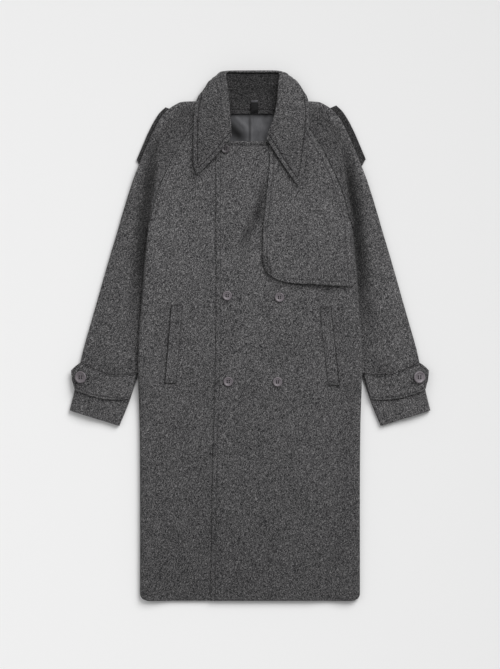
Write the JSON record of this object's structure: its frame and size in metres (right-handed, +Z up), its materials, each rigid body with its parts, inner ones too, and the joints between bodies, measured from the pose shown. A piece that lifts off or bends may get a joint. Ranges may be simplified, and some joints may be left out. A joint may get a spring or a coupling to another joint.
{
  "type": "double-breasted wool overcoat",
  "caption": "Long double-breasted wool overcoat in the trench style, laid flat with its front up: raglan sleeves, wide pointed collar, storm flap, welt pockets, cuff and shoulder straps.",
  "frame": {"origin": "centre of the bounding box, on the floor that the back rests on", "axes": "+Y from hem to collar, +X to the wearer's left, +Z up from the floor through the front"},
  "size_m": [0.865, 1.27, 0.0355],
  "materials": {
    "wool": "grey melange coating wool, brushed",
    "satin": "grey satin lining",
    "tape": "black woven tape",
    "horn": "mauve-grey moulded button, satin"
  },
  "bodies": {
    "root": {"back": "wool", "front_under": "wool", "front_over": "wool", "storm_flap": "wool", "sleeve_front_r": "wool", "sleeve_front_l": "wool", "sleeve_back_r": "wool", "sleeve_back_l": "wool", "collar_fall": "wool", "collar_stand": "wool", "welt_r": "wool", "welt_l": "wool", "cuff_strap_r": "wool", "cuff_strap_l": "wool", "shoulder_strap_r": "wool", "shoulder_strap_l": "wool", "lining": "satin", "hanger_loop": "tape", "button_1": "horn", "button_2": "horn", "button_3": "horn", "button_4": "horn", "button_neck": "horn", "button_cuff_r": "horn", "button_cuff_l": "horn"}
  },
  "joints": []
}
